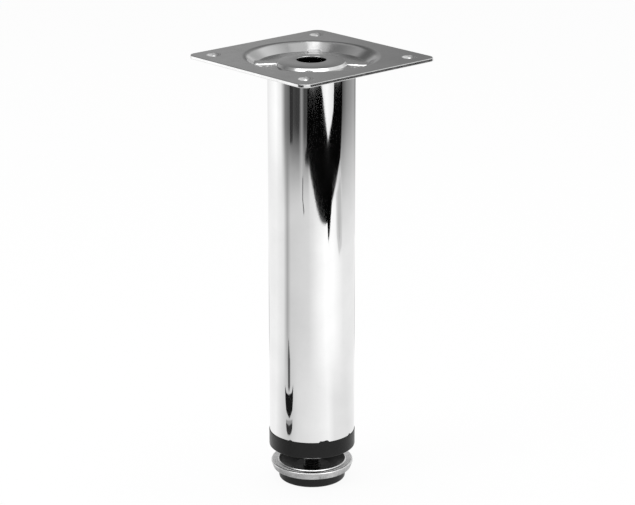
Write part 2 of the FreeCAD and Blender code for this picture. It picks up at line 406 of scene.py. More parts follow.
def bump(tree, height, depth, strength=1.0, normal=None):
    """Relief from a texture, with depth in metres."""
    inputs = {"Height": height, "Distance": depth, "Strength": strength}
    if normal is not None:
        inputs["Normal"] = normal
    return add(tree, "ShaderNodeBump", inputs).outputs["Normal"]


def new_material(name, metallic=0.0):
    material = bpy.data.materials.new(name)
    material.use_nodes = True
    tree = material.node_tree
    shader = tree.nodes["Principled BSDF"]
    shader.inputs["Metallic"].default_value = metallic
    return material, tree, shader


def finish(tree, shader, colour, rough, normal):
    """Feeds a shader's colour, roughness and relief."""
    for key, value in (("Base Color", colour), ("Roughness", rough), ("Normal", normal)):
        tree.links.new(value, shader.inputs[key])


# Materials

def chrome_tube():
    material, tree, shader = new_material("chromed_tube", 1.0)
    colour = shades(tree, noise(tree, 45, 4), [(0.3, 0.84), (0.7, 0.90)])
    rough = spread(tree, noise(tree, 160, 3, stretch=(1, 1, 0.15)), 0.025, 0.06)
    drawn = bump(tree, noise(tree, 260, 2, stretch=(1, 1, 0.05)), 2.0e-6)
    peel = noise(tree, 110, 2, stretch=(1, 1, 0.5))
    finish(tree, shader, colour, rough, bump(tree, peel, 8.0e-6, normal=drawn))
    return material


def chrome_sheet():
    material, tree, shader = new_material("chromed_sheet", 1.0)
    colour = shades(tree, noise(tree, 60, 4), [(0.3, 0.76), (0.7, 0.84)])
    rough = spread(tree, noise(tree, 220, 4), 0.12, 0.20)
    rolled = bump(tree, noise(tree, 420, 3, stretch=(0.12, 1, 1)), 2.0e-6)
    finish(tree, shader, colour, rough, bump(tree, noise(tree, 130, 3), 1.2e-5, normal=rolled))
    return material


def painted_glint(tree, colour, angle, width, middle, half):
    """A colour with a painted glint, a lighter strip that stands in for a highlight, given by angle and width in
    degrees and by its middle and half height.
    """
    xyz = split(tree, own_coords(tree))
    turn = math_node(tree, "ARCTAN2", xyz["Y"], xyz["X"])
    off = math_node(tree, "ABSOLUTE", math_node(tree, "SUBTRACT", turn, math.radians(angle)))
    side = spread(tree, off, 1.0, 0.0, math.radians(width * 0.3), math.radians(width / 2))
    rise = math_node(tree, "ABSOLUTE", math_node(tree, "SUBTRACT", xyz["Z"], middle))
    band = spread(tree, rise, 1.0, 0.0, half * 0.4, half)
    # Mask of the painted glint, broken up by noise
    painted_highlight_mask = math_node(tree, "MULTIPLY", side, band)
    painted_highlight_mask = math_node(tree, "MULTIPLY", painted_highlight_mask, spread(tree, noise(tree, 500, 3), 0.3, 1.0))
    return over(tree, painted_highlight_mask, colour, 0.6)


def black_plastic(name, grey, rough_low, rough_high, glint=None):
    """Moulded plastic with a fine grain, and a painted glint where one is given."""
    material, tree, shader = new_material(name)
    shader.inputs["Specular IOR Level"].default_value = 0.25
    colour = shades(tree, noise(tree, 90, 5), [(0.3, grey * 0.8), (0.7, grey * 1.25)])
    if glint:
        colour = painted_glint(tree, colour, *glint)
    rough = spread(tree, noise(tree, 350, 4), rough_low, rough_high)
    grain = bump(tree, noise(tree, 2600, 3), 6.0e-6, 0.6)
    finish(tree, shader, colour, rough, bump(tree, noise(tree, 160, 3), 2.0e-5, normal=grain))
    return material


def satin_ring():
    """Mottled satin zinc, lighter and glossier round the upper outer edge, where the lighter colour is a painted
    highlight.
    """
    material, tree, shader = new_material("satin_ring", 1.0)
    blotch = noise(tree, 190, 4, 0.6)
    speck = noise(tree, 1500, 3, 0.6)
    height = split(tree, own_coords(tree))["Z"]
    # Painted highlight: over the top of the ring the colour is lifted to light grey for the light the top catches, and
    # the roughness falls there too
    painted_top_band = spread(tree, height, 0.0, 1.0, RING_HI.z - 1.1 * MM, RING_HI.z - 0.6 * MM)
    painted_highlight_mask = math_node(tree, "MULTIPLY", painted_top_band, spread(tree, blotch, 0.6, 1.0))
    satin = shades(tree, between(tree, 0.45, blotch, speck), [(0.32, 0.22), (0.45, 0.42), (0.6, 0.56)])
    rough = between(tree, painted_highlight_mask, spread(tree, speck, 0.34, 0.5), 0.22)
    finish(tree, shader, over(tree, painted_highlight_mask, satin, 0.92), rough, bump(tree, speck, 8.0e-6))
    return material


def plain_steel(name, metallic, clouds, dark, light, rough_low, rough_high, grain, depth):
    """Steel with soft clouds between two colours and a fine grain."""
    material, tree, shader = new_material(name, metallic)
    colour = shades(tree, noise(tree, clouds, 4), [(0.3, dark), (0.7, light)])
    rough = spread(tree, noise(tree, 900, 3), rough_low, rough_high)
    finish(tree, shader, colour, rough, bump(tree, noise(tree, grain, 3), depth))
    return material


TUBE_CHROME = chrome_tube()
SHEET_CHROME = chrome_sheet()
# The collar's plastic carries a painted glint, a lighter strip on the lower edge of its side towards the camera
COLLAR_PLASTIC = black_plastic(
    "black_collar_plastic", 0.006, 0.28, 0.40, (-131.0, 26.0, INSERT_LO.z + 0.25 * MM, 0.3 * MM))
FOOT_PLASTIC = black_plastic("black_foot_plastic", 0.007, 0.30, 0.44)
RING_METAL = satin_ring()
SPINDLE_STEEL = plain_steel("blackened_steel", 0.85, 300, 0.022, 0.05, 0.32, 0.5, 1800, 6.0e-6)
NUT_ZINC = plain_steel(
    "zinc_steel", 1.0, 320, (0.42, 0.42, 0.40), (0.60, 0.60, 0.57), 0.25, 0.42, 1400, 8.0e-6)


# Pressed mounting plate

PLATE_TOP = PLATE_HI.z
PLATE_UNDER = PLATE_TOP - SHEET
HALF = PLATE_HI.x
TUBE_R = TUBE_HI.x
FLOOR_Z = PLATE_TOP - DISH_DEPTH
FLOOR_OUT = TUBE_R + SEAT_OUTSIDE
FLOOR_IN = TUBE_R - SEAT_INSIDE
LIP_R = FLOOR_OUT + DISH_DEPTH / math.tan(DISH_WALL)
LIP_RUN = DISH_LIP_R * math.tan(DISH_WALL / 2)
DISH_R = LIP_R + 2 * LIP_RUN
STEP_TOP = FLOOR_Z + BOSS_STEP

# Rows of points across the floor of the dish, besides those of its section
ROW_START = FLOOR_IN - 2.4 * MM
ROW_STEP = 0.35 * MM
ROW_COUNT = 46
LEAST_ROW = 0.04 * MM

# Angles of a quarter of the dish, close together at its rib: first, span and count
QUARTER = [(0.0, 33.0, 18), (33.0, 24.0, 60), (57.0, 33.0, 18)]


def bend_line(points, radii):
    """An open line of (r, z) points with its inner corners rounded."""
    return rounded(points, [0] + radii + [0], 12, 0.05 * MM)


def height_on(line, r):
    """The height of a line, whose radii fall, at a radius."""
    for (r0, z0), (r1, z1) in zip(line, line[1:]):
        if r1 <= r <= r0:
            t = (r0 - r) / max(r0 - r1, 1e-12)
            return z0 + (z1 - z0) * t
    return line[-1][1] if r < line[-1][0] else line[0][1]


def clamp(t):
    return min(1.0, max(0.0, t))


def ease(t):
    t = clamp(t)
    return t * t * (3 - 2 * t)


def soft_max(a, b, k):
    h = max(k - abs(a - b), 0.0) / k
    return max(a, b) + h * h * k / 4


def rib_rise(r, angle):
    """Height of the nearest diagonal rib over the dish floor."""
    off = (angle % (TAU / 4)) - TAU / 8
    along = r * math.cos(off)
    across = abs(r * math.sin(off))
    inner = FLOOR_IN + RIB_START
    outer = FLOOR_OUT - RIB_END
    t = clamp((along - inner) / (outer - inner))
    half = (RIB_INNER_W + (RIB_OUTER_W - RIB_INNER_W) * t) / 2 * (1 - RIB_END_NARROWING * abs(2 * t - 1) ** 5)
    flank = 1 - ease((across - half + RIB_FLANK_IN) / RIB_FLANK)
    start = ease((along - inner + RIB_START_LEAD) / RIB_START_RUN)
    end = 1 - ease((along - outer + RIB_END_LEAD) / RIB_END_RUN)
    return RIB_HEIGHT * flank * (start * end)


def plate_angles():
    angles = []
    for quarter in range(4):
        for first, span, count in QUARTER:
            for k in range(count):
                angles.append(quarter * TAU / 4 + math.radians(first + k * span / count))
    return angles


def dish_rings(bm, line, base, angles):
    """Rings of points over the dish along a line of the section, raised where the ribs are."""
    rows = [ROW_START + k * ROW_STEP for k in range(ROW_COUNT)]
    radii = sorted(set([r for r, z in line] + [r for r in rows if r < DISH_R]), reverse=True)
    kept = [radii[0]]
    for r in radii[1:]:
        if kept[-1] - r > LEAST_ROW:
            kept.append(r)
    kept[-1] = radii[-1]
    rings = []
    for r in kept:
        flat = height_on(line, r)
        ring = []
        for a in angles:
            rise = rib_rise(r, a)
            z = flat if rise <= 0 else soft_max(flat, base + rise, RIB_BLEND)
            ring.append(bm.verts.new(polar(r, a, z)))
        rings.append(ring)
    skin(bm, rings)
    return rings


def square_ring(bm, inset, z, per_corner=14, per_side=10):
    """A ring of points round the plate's rounded square, moved in by inset."""
    straight = HALF - PLATE_CORNER_R
    r = PLATE_CORNER_R - inset
    ring = []
    for q in range(4):
        turn = Matrix.Rotation(q * TAU / 4, 3, "Z")
        for k in range(per_corner):
            a = TAU / 4 * k / per_corner
            ring.append(bm.verts.new(turn @ Vector((straight + r * math.cos(a), straight + r * math.sin(a), z))))
        for k in range(per_side):
            x = straight - 2 * straight * k / per_side
            ring.append(bm.verts.new(turn @ Vector((x, straight + r, z))))
    return ring


def plate_rim(bm):
    """The plate's outer edge, rounded above and below. Returns the rings where the flats begin."""
    e = PLATE_EDGE_R
    lean = PLATE_EDGE_LEAN
    beside = 0.2 * MM
    support = 0.1 * MM
    arc = [TAU / 4 * k / 5 for k in range(6)]
    lines = [(lean + e + beside, PLATE_TOP)]
    lines += [(lean + e - e * math.sin(a), PLATE_TOP - e + e * math.cos(a)) for a in arc]
    lines += [(lean, PLATE_TOP - e - support), (0.0, PLATE_UNDER + e + support)]
    lines += [(e - e * math.cos(a), PLATE_UNDER + e - e * math.sin(a)) for a in arc]
    lines.append((e + beside, PLATE_UNDER))
    rings = [square_ring(bm, inset, z) for inset, z in lines]
    skin(bm, rings)
    return rings[0], rings[-1]


def screw_hole(bm, x, y):
    """A countersunk hole. Returns its rings on the upper and the lower face."""
    sink = SCREW_HEAD_R - SCREW_HOLE_R
    soft = SCREW_EDGE
    levels = [
        (SCREW_HEAD_R + soft + 0.15 * MM, PLATE_TOP),
        (SCREW_HEAD_R + soft, PLATE_TOP),
        (SCREW_HEAD_R + 0.35 * soft, PLATE_TOP - 0.12 * soft),
        (SCREW_HEAD_R - 0.35 * soft, PLATE_TOP - 0.6 * soft),
        (SCREW_HEAD_R - soft, PLATE_TOP - soft * 1.05),
        (SCREW_HEAD_R - 2.2 * soft, PLATE_TOP - 2.2 * soft),
        (SCREW_HOLE_R + 0.5 * soft, PLATE_TOP - sink + 0.5 * soft),
        (SCREW_HOLE_R, PLATE_TOP - sink - 0.3 * soft),
        (SCREW_HOLE_R, PLATE_UNDER + 0.4 * soft),
        (SCREW_HOLE_R + 0.4 * soft, PLATE_UNDER),
        (SCREW_HOLE_R + 2 * soft, PLATE_UNDER),
    ]
    rings = [circle_ring(bm, x, y, r, z) for r, z in levels]
    skin(bm, rings)
    return rings[0], rings[-1]


def sheet_under(line):
    """The line of the sheet's lower face, for a line of its upper face."""
    under = []
    for i, point in enumerate(line):
        corner = Vector(point)
        before = Vector(line[max(i - 1, 0)])
        after = Vector(line[min(i + 1, len(line) - 1)])
        run_in = (corner - before).normalized() if i else (after - corner).normalized()
        run_out = (after - corner).normalized() if i < len(line) - 1 else run_in
        n_in = Vector((-run_in.y, run_in.x))
        n_out = Vector((-run_out.y, run_out.x))
        mitre = (n_in + n_out).normalized()
        moved = corner + mitre * (SHEET / mitre.dot(n_in))
        under.append((moved.x, moved.y))
    return under


def mounting_plate():
    bm = bmesh.new()
    hole_rim = CENTRE_HOLE_R + HOLE_EDGE
    line = [
        (DISH_R, PLATE_TOP), (LIP_R, PLATE_TOP), (FLOOR_OUT, FLOOR_Z), (FLOOR_IN, FLOOR_Z),
        (FLOOR_IN - BOSS_STEP_RUN, STEP_TOP), (hole_rim, STEP_TOP + BOSS_RISE),
    ]
    lower = sheet_under(line)
    lower[0] = (DISH_R, PLATE_UNDER)
    lower[-1] = (hole_rim, lower[-1][1])
    # Drawing thins the sheet in the dish, on its upper face
    upper = line[:2] + [(r, z - DRAWN_THIN) for r, z in line[2:]]
    upper_line = bend_line(upper, [DISH_LIP_R, PRESS_R, BOSS_STEP_R, BOSS_STEP_R])
    lower_line = bend_line(lower, [DISH_LIP_R - SHEET, PRESS_R + SHEET, BOSS_STEP_R, BOSS_STEP_R])
    angles = plate_angles()
    top_rings = dish_rings(bm, upper_line, FLOOR_Z - DRAWN_THIN, angles)
    low_rings = dish_rings(bm, lower_line, FLOOR_Z - SHEET, angles)
    # Wall of the centre hole, between the inner ends of both faces
    top_z = upper_line[-1][1]
    low_z = lower_line[-1][1]
    edge_r = CENTRE_HOLE_R + 0.08 * MM
    edge_z = 0.03 * MM
    wall = []
    for r, z in [(edge_r, top_z - edge_z), (CENTRE_HOLE_R, top_z - HOLE_EDGE),
                 (CENTRE_HOLE_R, low_z + HOLE_EDGE), (edge_r, low_z + edge_z)]:
        wall.append([bm.verts.new(polar(r, a, z)) for a in angles])
    skin(bm, [top_rings[-1]] + wall + [low_rings[-1]])
    # Flats, between the dish, the rim and the screw holes
    loops = [(top_rings[0], low_rings[0]), plate_rim(bm)]
    reach = HALF - SCREW_INSET
    for x in (-reach, reach):
        for y in (-reach, reach):
            loops.append(screw_hole(bm, x, y))
    for rings in zip(*loops):
        edges = []
        for ring in rings:
            edges += ring_edges(bm, ring)
        bmesh.ops.triangle_fill(bm, edges=edges, use_beauty=True, use_dissolve=False, normal=(0, 0, 1))
    face_out(bm)
    plate = mesh_object("plate", bm)
    dress(plate, SHEET_CHROME, "leg", "mounting_plate", 40.0)


# Tube, plug and screw

TUBE_INNER_R = TUBE_R - TUBE_WALL


def leg_tube():
    bm = bmesh.new()
    corners = [
        (TUBE_INNER_R, TUBE_LO.z), (TUBE_R, TUBE_LO.z), (TUBE_R, TUBE_HI.z), (TUBE_INNER_R, TUBE_HI.z)]
    e = TUBE_EDGE_R
    lathe(bm, rounded(corners, [e / 2, e, e, e / 2], 4), FINE_ROUND)
    dress(mesh_object("tube", bm), TUBE_CHROME, "leg", "leg_tube")


def nib(bm, angle_deg, width, height, count=16):
    """A burr on the collar's rim: a thin curved flake with sloping ends and a wavy top."""
    root = TUBE_LO.z - NIB_ROOT
    inner = TUBE_R + NIB_GAP
    outer = INSERT_HI.x
    columns = []
    for k in range(count + 1):
        t = 2 * k / count - 1
        a = math.radians(angle_deg) + t * width * MM / 2 / outer
        slope = 1 - ease((abs(t) - NIB_FLAT) / (1 - NIB_FLAT))
        wave = 1 - NIB_WAVE + NIB_WAVE * math.cos(NIB_WAVE_RATE * t + angle_deg)
        top = TUBE_LO.z + height * MM * slope * wave - 0.02 * MM
        section = [
            (inner, root), (outer, root), (outer, top - 0.1 * MM), ((inner + outer) / 2, top),
            (inner, top - 0.04 * MM)]
        columns.append([bm.verts.new(polar(r, a, z)) for r, z in section])
    skin(bm, columns)
    bm.faces.new(columns[0])
    bm.faces.new(columns[-1])


def end_insert():
    bm = bmesh.new()
    z0 = INSERT_LO.z
    rim = TUBE_LO.z
    top = INSERT_HI.z
    inside = z0 + COLLAR_FLOOR
    collar_r = INSERT_HI.x
    spigot_r = TUBE_INNER_R - SPIGOT_CLEARANCE
    cup_r = spigot_r - SPIGOT_WALL
    boss_r = (POCKET_AF - POCKET_GAP) / math.sqrt(3) + BOSS_WALL
    boss_top = rim + BOSS_ABOVE
    corners = [
        (BORE_R, z0), (collar_r, z0), (collar_r, rim), (spigot_r, rim), (spigot_r, top - SPIGOT_CHAMFER),
        (spigot_r - SPIGOT_CHAMFER, top), (cup_r, top), (cup_r, inside), (boss_r, inside), (boss_r, boss_top),
        (BORE_R, boss_top),
    ]
    lathe(bm, rounded(corners, [0, COLLAR_EDGE_R, 0.15 * MM, 0, 0, 0, 0, 0, 0, 0.3 * MM, 0]), PLAIN_ROUND)
    insert = mesh_object("collar", bm)
    bm = bmesh.new()
    mid_wall = cup_r + SPIGOT_WALL / 2
    for k in range(WEB_COUNT):
        a = WEB_PHASE + TAU * k / WEB_COUNT
        box_at(bm, boss_r - BOSS_WALL / 2, mid_wall, WEB_T, z0 + COLLAR_FLOOR / 2, boss_top - WEB_DROP, a)
        box_at(bm, mid_wall + FACES_APART, TUBE_INNER_R - CRUSH_GAP, CRUSH_W, rim - CRUSH_ROOT,
               top - 2 * SPIGOT_CHAMFER, a)
    for one in NIBS:
        nib(bm, *one)
    face_out(bm)
    combine(insert, mesh_object("insert_ribs", bm), "UNION")
    combine(insert, hex_bar("pocket", POCKET_AF, z0 - 2 * MM, NUT_HI.z), "DIFFERENCE")
    dress(insert, COLLAR_PLASTIC, "leg", "end_insert")


def thread_radius(angle, z):
    """Radius of a right-handed 60 degree thread with a flat crest and a flat root."""
    phase = (z / THREAD_PITCH - angle / TAU) % 1.0
    off_crest = min(phase, 1 - phase)
    slope = clamp((off_crest - 1 / 16) / (3 / 8 - 1 / 16))
    return THREAD_R - THREAD_DEPTH * THREAD_PITCH * slope


def adjusting_spindle():
    bm = bmesh.new()
    angles = [TAU * k / SCREW_ROUND for k in range(SCREW_ROUND)]
    head_top = SPINDLE_LO.z + HEAD_H
    tip = SPINDLE_HI.z
    step = THREAD_PITCH / 12
    rows = int(round((tip - head_top) / step))
    rings = []
    for i in range(rows + 1):
        z = head_top + (tip - head_top) * i / rows
        limit = THREAD_R - max(0.0, z - (tip - TIP_CHAMFER))
        rings.append([bm.verts.new(polar(min(thread_radius(a, z), limit), a, z)) for a in angles])
    skin(bm, rings + [[bm.verts.new((0, 0, tip))]])
    # Hexagon head with its corners turned off
    face_r = HEAD_AF / 2 * HEAD_FACE_RATIO
    slope = math.tan(HEAD_CHAMFER)
    crown = circle_ring(bm, 0, 0, face_r, head_top, SCREW_ROUND)
    levels = [[], []]
    for a in angles:
        r = hex_radius(a, HEAD_AF)
        drop = (r - face_r) * slope
        for level, z in zip(levels, (head_top - drop, SPINDLE_LO.z + drop)):
            level.append(bm.verts.new(polar(r, a, z)))
    sole = circle_ring(bm, 0, 0, face_r, SPINDLE_LO.z, SCREW_ROUND)
    skin(bm, [crown] + levels + [sole])
    bm.faces.new(sole)
    bmesh.ops.triangle_fill(bm, edges=ring_edges(bm, rings[0]) + ring_edges(bm, crown), normal=(0, 0, 1))
    face_out(bm)
    dress(mesh_object("spindle", bm), SPINDLE_STEEL, "adjuster", "adjusting_spindle", 50.0)


# Foot

RING_TOP = RING_HI.z
RING_BOTTOM = RING_LO.z
SKIRT_SLOPE = math.tan(RING_CONE)
SKIRT_RUN = RING_SHEET / math.cos(RING_CONE)
RING_CORNER_R = RING_HI.x + RING_EDGE_R * (math.tan(TAU / 8 + RING_CONE / 2) - 1)
RING_BOTTOM_R = RING_CORNER_R - SKIRT_SLOPE * (RING_TOP - RING_BOTTOM)
RING_UNDER = RING_TOP - RING_SHEET
RING_UNDER_R = RING_CORNER_R - SKIRT_SLOPE * RING_SHEET - SKIRT_RUN


def foot_ring():
    bm = bmesh.new()
    lip_r = RING_HOLE_R + RING_LIP_W
    corners = [
        (RING_HOLE_R, RING_UNDER - RING_DISH), (RING_UNDER_R, RING_UNDER), (RING_BOTTOM_R - SKIRT_RUN, RING_BOTTOM),
        (RING_BOTTOM_R, RING_BOTTOM), (RING_CORNER_R, RING_TOP), (lip_r + RING_LIP_RUN, RING_TOP - RING_LIP_H),
        (lip_r, RING_TOP), (RING_HOLE_R, RING_TOP),
    ]
    radii = [0, 0, 0.15 * MM, 0.25 * MM, RING_EDGE_R, 0.15 * MM, 0.12 * MM, 0]
    lathe(bm, rounded(corners, radii, 8, 0.03 * MM), FINE_ROUND)
    dress(mesh_object("ring", bm), RING_METAL, "adjuster", "foot_ring")


def foot_hub():
    bm = bmesh.new()
    fit = RING_CLEARANCE / math.cos(RING_CONE)
    head_top = SPINDLE_LO.z + HEAD_H
    floor_z = head_top + HUB_FLOOR
    corners = [
        (HUB_BORE_R, HUB_LO.z), (HUB_FLANGE_R, HUB_LO.z), (HUB_FLANGE_R, HUB_FLANGE_TOP), (HUB_NECK_R, HUB_FLANGE_TOP),
        (HUB_NECK_R, RING_BOTTOM), (RING_BOTTOM_R - SKIRT_RUN - fit, RING_BOTTOM), (RING_UNDER_R - fit, RING_UNDER),
        (RING_HOLE_R - RING_CLEARANCE, RING_UNDER - RING_DISH), (HUB_DISH_R, floor_z), (HUB_BORE_R, floor_z),
    ]
    lathe(bm, rounded(corners, [0, 0.2 * MM, 0, 0, 0, 0, 0, 0.6 * MM, 1.2 * MM, 0.3 * MM]), PLAIN_ROUND)
    hub = mesh_object("hub", bm)
    combine(hub, hex_bar("hub_pocket", POCKET_AF, HUB_LO.z - 2 * MM, head_top), "DIFFERENCE")
    dress(hub, FOOT_PLASTIC, "adjuster", "foot_hub")


def foot_glide():
    bm = bmesh.new()
    top = GLIDE_HI.z
    lip = top - GLIDE_LIP_H
    cup = GLIDE_HI.x - GLIDE_WALL
    corners = [
        (0, GLIDE_RECESS_H), (GLIDE_RECESS_R, GLIDE_RECESS_H), (GLIDE_RECESS_EDGE_R, 0), (GLIDE_FOOT_R, 0),
        (GLIDE_HI.x, top), (GLIDE_LIP_R, top), (GLIDE_LIP_R, lip), (cup, lip), (cup, GLIDE_FLOOR), (0, GLIDE_FLOOR),
    ]
    lathe(bm, rounded(corners, [0, 0, 0, GLIDE_EDGE_R, 0.4 * MM, 0, 0, 0, 0, 0], 8), PLAIN_ROUND)
    dress(mesh_object("glide", bm), FOOT_PLASTIC, "glide", "foot_glide")


mounting_plate()
leg_tube()
end_insert()
adjusting_spindle()
foot_ring()
foot_hub()
foot_glide()
nut = frame["nodes"]["spindle_nut"]
nut.data.materials.clear()
nut.data.materials.append(NUT_ZINC)


# Camera. The view frame has x to the right, y away from the camera and z up, turned from the part's frame by VIEW_TURN.

VIEW_TURN = Matrix.Rotation(-math.radians(41.9), 3, "Z")
FOCAL_PX = 2304.48
IMAGE_W = 635
IMAGE_H = 505
CAMERA_PLACE = (3.348, -1268.67, 548.83)
CAMERA_PITCH = math.radians(17.8876)
CAMERA_ROLL = math.radians(-0.0457)


def from_view(x, y, z):
    """A point of the view frame, in millimetres, in the part's frame."""
    return VIEW_TURN @ Vector((x, y, z)) * MM


camera_data = bpy.data.cameras.new("camera")
camera_data.sensor_fit = "HORIZONTAL"
camera_data.sensor_width = 36.0
camera_data.lens = FOCAL_PX * camera_data.sensor_width / IMAGE_W
camera_data.clip_start = 0.05
camera = bpy.data.objects.new("camera", camera_data)
bpy.context.scene.collection.objects.link(camera)
facing = Matrix.Rotation(TAU / 4 - CAMERA_PITCH, 3, "X") @ Matrix.Rotation(CAMERA_ROLL, 3, "Z")
camera.matrix_world = Matrix.Translation(from_view(*CAMERA_PLACE)) @ (VIEW_TURN @ facing).to_4x4()
bpy.context.scene.camera = camera


# Studio. The chrome mirrors it, so its greys and cards give the streaks on tube and plate.

def mirrored(px, py):
    """The point of the table, in the part's frame, that the tube shows at a pixel of the picture."""
    eye = camera.matrix_world.translation
    way = camera.matrix_world.to_3x3() @ Vector(((px - IMAGE_W / 2) / FOCAL_PX, (IMAGE_H / 2 - py) / FOCAL_PX, -1))
    a = way.x ** 2 + way.y ** 2
    b = eye.x * way.x + eye.y * way.y
    c = eye.x ** 2 + eye.y ** 2 - TUBE_R ** 2
    hit = eye + way * ((-b - math.sqrt(b * b - a * c)) / a)
    out = way.reflect(Vector((hit.x, hit.y, 0)).normalized())
    return hit + out * (-hit.z / out.z)


def surface_tree(name):
    """A material without nodes, and its tree."""
    material = bpy.data.materials.new(name)
    material.use_nodes = True
    material.node_tree.nodes.clear()
    return material, material.node_tree


def emitter(name, build):
    """A material that shows the light that build returns as a number or a socket of its tree."""
    material, tree = surface_tree(name)
    light = add(tree, "ShaderNodeEmission", {"Color": (1, 1, 1, 1), "Strength": build(tree)})
    add(tree, "ShaderNodeOutputMaterial", {"Surface": light.outputs[0]})
    return material


def stand(obj):
    """Makes a studio object keep to the glide, so the foot stands on the floor at every pose."""
    obj.parent = frame["bodies"]["glide"]


def reflected_only(obj, material):
    """A studio object that shows in reflections and nowhere else."""
    obj.data.materials.append(material)
    obj.visible_camera = False
    obj.visible_diffuse = False
    obj.visible_transmission = False
    obj.visible_shadow = False
    stand(obj)


def reflected_in_view(name, bm, build):
    """A studio object drawn in the view frame, in metres, that shows in reflections only."""
    obj = mesh_object(name, bm)
    obj.matrix_world = VIEW_TURN.to_4x4()
    reflected_only(obj, emitter(name, build))


def card(name, points, grey):
    """A card of one grey through points of the part's frame."""
    bm = bmesh.new()
    edges = ring_edges(bm, [bm.verts.new(p) for p in points])
    bmesh.ops.triangle_fill(bm, edges=edges)
    reflected_only(mesh_object(name, bm), emitter(name, lambda tree: grey))


def table_card(name, outline, grey, lift=1.0):
    """A card on the table. Its outline is drawn in pixels of the picture, where the tube mirrors it."""
    card(name, [mirrored(*p) + Vector((0, 0, lift * MM)) for p in outline], grey)


def view_card(name, corners, grey):
    """A card through points of the view frame, in millimetres."""
    card(name, [from_view(*p) for p in corners], grey)


def upright_card(name, x0, y0, x1, y1, low, high, grey):
    """An upright card between two points of the view frame and two heights, in millimetres."""
    view_card(name, [(x0, y0, low), (x1, y1, low), (x1, y1, high), (x0, y0, high)], grey)


def plane(size, z):
    bm = bmesh.new()
    bmesh.ops.create_grid(bm, x_segments=2, y_segments=2, size=size, matrix=Matrix.Translation((0, 0, z)))
    return bm


# Greys of the table round the leg by degrees, where 0 is towards the camera and 90 to the right
FOOT_ROUND = [
    (-180, 0.84), (-105, 0.86), (-70, 0.58), (-58, 0.52), (-36, 0.68), (14, 0.78), (41, 0.88), (58, 0.74),
    (100, 0.73), (180, 0.87)]
NEAR_ROUND = [
    (-180, 0.82), (-105, 0.84), (-78, 0.74), (-66, 0.36), (-56, 0.6), (-40, 0.62), (-8, 0.66), (18, 0.88), (36, 1.0),
    (58, 1.0), (90, 0.8), (180, 0.78)]
FAR_ROUND = [
    (-180, 0.75), (-150, 0.8), (-105, 1.0), (-86, 0.8), (-72, 0.2), (-50, 0.06), (-33, 0.03), (-25, 0.3), (-19, 0.06),
    (-9, 0.06), (-4, 0.6), (40, 0.95), (62, 0.7), (84, 0.06), (104, 0.22), (140, 0.36), (165, 0.2), (180, 0.75)]
# Distances from the leg, in metres, between which one round of greys goes over to the next. NEAR_TO_FAR has its
# start and its end for the left and the right.
FOOT_TO_NEAR = (0.13, 0.32)
NEAR_TO_FAR_START = (0.56, 0.40)
NEAR_TO_FAR_END = (0.88, 0.98)
FAR_TO_PLAIN = (1.15, 1.6)
PLAIN_TABLE = 0.75
SHEEN_STRENGTH = 1.16


def floor_sheen_light(tree):
    """Greys of the white table as the tube shows it: soft streaks round the leg, stronger further out."""
    coords = own_coords(tree)
    xyz = split(tree, coords)
    turn = math_node(tree, "ARCTAN2", xyz["X"], math_node(tree, "MULTIPLY", xyz["Y"], -1.0))
    share = math_node(tree, "MULTIPLY_ADD", turn, 1 / TAU, 0.5)
    reach = add(tree, "ShaderNodeVectorMath", {0: coords}, operation="LENGTH").outputs["Value"]
    right = math_node(tree, "GREATER_THAN", xyz["X"], 0.0)
    start = between(tree, right, *NEAR_TO_FAR_START)
    end = between(tree, right, *NEAR_TO_FAR_END)
    foot, near, far = [
        shades(tree, share, [(degrees / 360 + 0.5, grey) for degrees, grey in stops])
        for stops in (FOOT_ROUND, NEAR_ROUND, FAR_ROUND)]
    light = between(tree, soft_step(tree, reach, *FOOT_TO_NEAR), foot, near)
    light = between(tree, soft_step(tree, reach, start, end), light, far)
    light = between(tree, soft_step(tree, reach, *FAR_TO_PLAIN), light, PLAIN_TABLE)
    return math_node(tree, "MULTIPLY", light, SHEEN_STRENGTH)


# Half width, height and distance of the glow behind the foot, in metres, and its greys from below upwards
GLOW_W = 0.085
GLOW_H = 0.11
GLOW_Y = 0.12
GLOW_LOW = 0.002
GLOW_RISE = [(0.0, 0.97), (0.08, 1.0), (0.25, 1.0), (0.42, 0.42), (0.6, 0.42), (1.0, 0.97)]
GLOW_EDGE = 0.97


def foot_glow_light(tree):
    """Light behind the foot for the ring: bright below, grey above it, and as light as the table towards its edges."""
    xyz = split(tree, own_coords(tree))
    light = shades(tree, math_node(tree, "DIVIDE", xyz["Z"], GLOW_H), GLOW_RISE)
    side = soft_step(tree, math_node(tree, "ABSOLUTE", xyz["X"]), 0.4 * GLOW_W, GLOW_W)
    return between(tree, side, light, GLOW_EDGE)


def foot_glow():
    bm = bmesh.new()
    corners = [(-GLOW_W, GLOW_LOW), (GLOW_W, GLOW_LOW), (GLOW_W, GLOW_H), (-GLOW_W, GLOW_H)]
    bm.faces.new([bm.verts.new((x, GLOW_Y, z)) for x, z in corners])
    reflected_in_view("foot_glow", bm, foot_glow_light)


# Greys of the dome from the horizon behind the leg over the top to the camera's side, in degrees
DOME_ARC = [
    (0, 0.28), (20, 0.27), (28, 0.17), (38, 0.12), (46, 0.12), (55, 0.36), (64, 0.28), (76, 0.18), (88, 0.26),
    (99, 0.35), (106, 0.45), (112, 1.9), (130, 1.9), (145, 0.8), (165, 0.5), (180, 0.3)]
# What is added to the right, by the x of the direction
DOME_SIDE = [(0.05, 0.0), (0.2, 0.08), (0.34, 0.3), (0.5, 0.42), (0.8, 0.62)]
# Greys of the walls just over the white table, by the x of the direction
DOME_WALLS = [
    (-1.0, 0.4), (-0.3, 0.44), (-0.1, 0.34), (-0.03, 0.33), (0.03, 0.24), (0.1, 0.14), (0.15, 0.26), (0.25, 0.7),
    (1.0, 0.7)]
# Heights, as the z of the direction, over which the table's white goes over to the walls and they to the dome
WHITE_TO_WALLS = (0.03, 0.08)
WALLS_TO_DOME = (0.26, 0.42)


